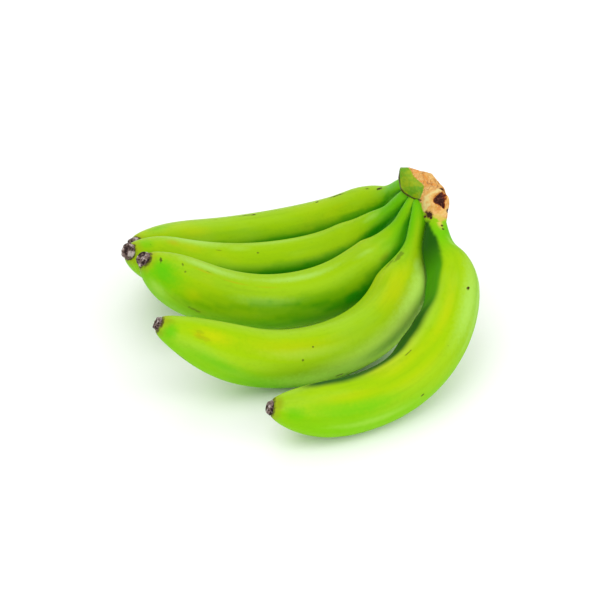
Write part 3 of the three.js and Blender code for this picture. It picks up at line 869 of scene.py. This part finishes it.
def crownMaterial():
    tones = crownTones
    material, tree, shader = newMaterial("crownTissue")
    coords = tree.nodes.new("ShaderNodeTexCoord").outputs["Object"]
    grain = noiseAt(tree, coords, 330, (1, 0.5, 1.3), 5, 0.65)
    fine = noiseAt(tree, coords, 900, (1, 1, 1), 4, 0.6)
    blotch = noiseAt(tree, coords, 130, (1, 1, 1), 3, 0.6)
    patchy = noiseAt(tree, coords, 75, (1, 1, 1), 2, 0.5)
    colour = mixColour(tree, ramp(tree, grain, 0.35, 0.65), *tones["cut"])
    colour = mixColour(tree, ramp(tree, blotch, 0.48, 0.62, 0.0, 0.85), colour, tones["cutOrange"])
    colour = mixColour(tree, ramp(tree, fine, 0.52, 0.7, 0.0, 0.6), colour, tones["cutPale"])
    wrinkle = mathNode(tree, "SUBTRACT", noiseAt(tree, coords, 210, (0.8, 0.5, 1.7), 2, 0.5), 0.5)
    wrinkle = ramp(tree, mathNode(tree, "ABSOLUTE", wrinkle), 0.0, 0.04, 1.0, 0.0)
    wrinkle = mathNode(tree, "MULTIPLY", wrinkle, ramp(tree, patchy, 0.36, 0.5, 0.15, 0.8))
    colour = mixColour(tree, wrinkle, colour, tones["wrinkle"])

    # knob: cream ring, orange and peach round the pit
    knob = attribute(tree, "knob")
    inside = mixColour(tree, ramp(tree, blotch, 0.42, 0.60), *tones["knob"])
    inside = mixColour(tree, ramp(tree, grain, 0.42, 0.58, 0.0, 0.6), inside, tones["knobOchre"])
    colour = mixColour(tree, knob, colour, inside)
    ringNoise = attribute(tree, "ring")
    for pattern, amount in ((patchy, 1.3), (grain, 0.9)):
        waver = mathNode(tree, "MULTIPLY", mathNode(tree, "SUBTRACT", pattern, 0.5), amount)
        ringNoise = mathNode(tree, "ADD", ringNoise, waver)
    colour = mixColour(tree, ramp(tree, ringNoise, 0.42, 1.05, 0.0, 0.9), colour, tones["ring"])
    colour = mixColour(tree, ramp(tree, fine, 0.56, 0.72, 0.0, 0.45), colour, tones["ringPale"])

    # mottled green cap with a thin bark-brown rim
    ragged = mathNode(tree, "MULTIPLY", mathNode(tree, "SUBTRACT", grain, 0.5), 1.1)
    cap = mathNode(tree, "ADD", attribute(tree, "cap"), mathNode(tree, "MULTIPLY", ragged, 0.75))
    cap = ramp(tree, cap, 0.25, 0.65)
    capColour = mixColour(tree, ramp(tree, blotch, 0.40, 0.60), *tones["cap"])
    capColour = mixColour(tree, ramp(tree, grain, 0.5, 0.68, 0.0, 0.5), capColour, tones["capDark"])
    colour = mixColour(tree, cap, colour, capColour)
    neckNoise = mathNode(tree, "MULTIPLY", ragged, 0.6)
    neck = ramp(tree, mathNode(tree, "ADD", attribute(tree, "towardsNeck"), neckNoise), 0.2, 0.8, 0.0, 0.85)
    colour = mixColour(tree, neck, colour, tones["neckYellow"])
    neck = ramp(tree, mathNode(tree, "ADD", attribute(tree, "towardsGreen"), neckNoise), 0.3, 0.8)
    colour = mixColour(tree, neck, colour, tones["neckGreen"])
    # painted shade in the gap beside the fifth fruit's neck
    colour = mixColour(tree, attribute(tree, "shaded"), colour, tones["gap"])
    rim = mathNode(tree, "ADD", attribute(tree, "rim"), mathNode(tree, "MULTIPLY", ragged, 0.3))
    rim = mathNode(tree, "MULTIPLY", ramp(tree, rim, 0.45, 0.8), 0.9)
    colour = mixColour(tree, rim, colour, tones["rim"])
    dark = attribute(tree, "dark")
    crumbs = mathNode(tree, "MULTIPLY", mathNode(tree, "SUBTRACT", fine, 0.5), ramp(tree, dark, 0.0, 0.2, 0.0, 0.9))
    dark = mathNode(tree, "ADD", dark, crumbs)
    colour = mixColour(tree, ramp(tree, dark, 0.15, 0.45, 0.0, 0.7), colour, tones["spotEdge"])
    colour = mixColour(tree, ramp(tree, dark, 0.40, 0.65), colour, tones["spot"])
    pit = attribute(tree, "pit")
    torn = mathNode(tree, "MULTIPLY", mathNode(tree, "SUBTRACT", grain, 0.5), ramp(tree, pit, 0.0, 0.25, 0.0, 2.6))
    pit = mathNode(tree, "ADD", pit, torn)
    colour = mixColour(tree, ramp(tree, pit, 0.02, 0.25, 0.0, 0.9), colour, tones["pitEdge"])
    colour = mixColour(tree, ramp(tree, pit, 0.22, 0.48), colour, tones["pitWall"])
    pitFloor = mixColour(tree, ramp(tree, fine, 0.45, 0.65), *tones["pitFloor"])
    colour = mixColour(tree, ramp(tree, pit, 0.5, 0.75), colour, pitFloor)
    tree.links.new(colour, shader.inputs["Base Color"])
    tree.links.new(ramp(tree, cap, 0.0, 1.0, 0.85, 0.5), shader.inputs["Roughness"])
    shader.inputs["Specular IOR Level"].default_value = crownFinish["specular"]
    height = mathNode(tree, "ADD", grain, mathNode(tree, "MULTIPLY", fine, 0.6))
    tree.links.new(bump(tree, height, crownFinish["bumpStrength"], crownFinish["bumpDepth"]), shader.inputs["Normal"])
    return material


finishPiece(crown, "crownCushion", "crown", crownMaterial(), "crown")
print("crown done")

# dried blossom ends

stubShape = {"sides": 36, "rings": 8, "lumps": 0.16, "ragged": 0.10, "hollow": 0.6, "sunkIn": 0.4}
stubFinish = {"roughness": 0.95, "specular": 0.15, "bumpStrength": 0.8, "bumpDepth": 0.001}
stubTones = {
    "crust": ((0.02, 0.008, 0.008), (0.20, 0.14, 0.12)), "flake": (0.50, 0.42, 0.40), "crack": (0.012, 0.004, 0.006),
}


def stubMaterial():
    material, tree, shader = newMaterial("driedBlossomEnd")
    coords = tree.nodes.new("ShaderNodeTexCoord").outputs["Object"]
    crust = noiseAt(tree, coords, 420, detail=5, roughness=0.7)
    flakes = noiseAt(tree, coords, 260, detail=3, roughness=0.6)
    colour = mixColour(tree, ramp(tree, crust, 0.42, 0.58), *stubTones["crust"])
    colour = mixColour(tree, ramp(tree, flakes, 0.53, 0.62, 0.0, 0.9), colour, stubTones["flake"])
    colour = mixColour(tree, ramp(tree, flakes, 0.36, 0.44, 0.8, 0.0), colour, stubTones["crack"])
    tree.links.new(colour, shader.inputs["Base Color"])
    shader.inputs["Roughness"].default_value = stubFinish["roughness"]
    shader.inputs["Specular IOR Level"].default_value = stubFinish["specular"]
    tree.links.new(bump(tree, crust, stubFinish["bumpStrength"], stubFinish["bumpDepth"]), shader.inputs["Normal"])
    return material


driedCrust = stubMaterial()


def blossomEnd(index):
    shape = stubShape
    line, sag = lines[index]
    heading = line[-1] - line[-4]
    heading /= np.linalg.norm(heading)
    outer = sag - heading * (heading @ sag)
    outer /= np.linalg.norm(outer)
    across = np.cross(heading, outer)
    nothingSelected()
    bpy.ops.mesh.primitive_circle_add(vertices=shape["sides"], radius=1, fill_type="NGON")
    piece = bpy.context.object
    bpy.ops.object.mode_set(mode="EDIT")
    bpy.ops.mesh.select_all(action="SELECT")
    for step in range(shape["rings"]):
        bpy.ops.mesh.extrude_region_move(TRANSFORM_OT_translate={"value": (0, 0, 1 / shape["rings"])})
    for width in (0.25, 0.25, 0.25):
        bpy.ops.mesh.inset(thickness=width)
    bpy.ops.object.mode_set(mode="OBJECT")
    straightStub = points(piece)
    angle = np.arctan2(straightStub[:, 1], straightStub[:, 0])
    reach = np.hypot(straightStub[:, 0], straightStub[:, 1])
    up = straightStub[:, 2]
    lump = np.array([noise.fractal(Vector((math.cos(a) * 1.6, math.sin(a) * 1.6, u * 1.2 + 5.3 * index)), 0.9, 2.1, 4)
                     for a, u in zip(angle, up)])
    profile = 0.93 + 0.07 * np.sin(up * 7) - 0.2 * smooth(up, 0.75, 1.0)
    stubRadius, stubLength = fruits[index]["stub"]
    radius = stubRadius * reach * profile * (1 + shape["lumps"] * lump * smooth(up, 0.0, 0.25))
    ragged = up * (stubLength + shape["sunkIn"]) * (1 + shape["ragged"] * lump)
    ragged -= shape["hollow"] * (1 - smooth(reach, 0.2, 0.8)) * smooth(up, 0.8, 1)
    where = (line[-1] - heading * shape["sunkIn"] + heading * ragged[:, None]
             + outer * (radius * np.cos(angle))[:, None] + across * (radius * np.sin(angle))[:, None])
    movePoints(piece, (where + bunchShift) * 0.001)
    applyModifier(piece, "SUBSURF", levels=1, render_levels=1)
    finishPiece(piece, f"blossomEnd_{index + 1}", "blossom_end", driedCrust, f"tip_{index + 1}")


for index in range(len(fruits)):
    blossomEnd(index)
print("blossom ends done")

# floor, light and camera

studio = {
    "elevation": 34, "distance": 1.08, "lens": 92.57, "target": (1.567, -20.299, 43.0),
    "floorSize": 6, "floorDown": 0.0001, "floorColour": (0.95, 0.95, 0.95, 1), "floorRoughness": 0.9,
    "world": 0.82, "lightSize": 1.2, "lightsAimAt": (0, 0, 0.04), "sensor": 36,
    # place in metres and power in watts
    "lights": {
        "keyLight": ((-0.4, -0.4, 1.3), 5.0), "backLight": ((0.0, 1.0, 0.9), 3.5),
        "rightLight": ((1.1, -0.3, 0.8), 3.0), "frontLight": ((0.3, -1.25, 0.4), 4.5),
    },
}


def areaLight(name, place, power):
    nothingSelected()
    bpy.ops.object.light_add(type="AREA", location=place)
    light = bpy.context.object
    light.name = name
    light.data.shape, light.data.size, light.data.energy = "DISK", studio["lightSize"], power
    aim = Vector(studio["lightsAimAt"]) - Vector(place)
    light.rotation_euler = aim.to_track_quat("-Z", "Y").to_euler()


bpy.ops.mesh.primitive_plane_add(size=studio["floorSize"], location=(0, 0, -studio["floorDown"]))
floor = bpy.context.object
floor.name = "floor"
floorPaint, _, floorShader = newMaterial("paleFloor")
floorShader.inputs["Base Color"].default_value = studio["floorColour"]
floorShader.inputs["Roughness"].default_value = studio["floorRoughness"]
floor.data.materials.append(floorPaint)

for name, (place, power) in studio["lights"].items():
    areaLight(name, place, power)

world = bpy.data.worlds.new("studioWorld")
world.use_nodes = True
world.node_tree.nodes["Background"].inputs["Color"].default_value = (1, 1, 1, 1)
world.node_tree.nodes["Background"].inputs["Strength"].default_value = studio["world"]
bpy.context.scene.world = world
bpy.context.scene.view_settings.view_transform = "Standard"

target = mm(*studio["target"])
tilt = math.radians(studio["elevation"])
back = Vector((0, -math.cos(tilt), math.sin(tilt))) * studio["distance"]
bpy.ops.object.camera_add(location=target + back, rotation=(math.pi / 2 - tilt, 0, 0))
camera = bpy.context.object
camera.data.lens, camera.data.sensor_width = studio["lens"], studio["sensor"]
bpy.context.scene.camera = camera
print("stage done")
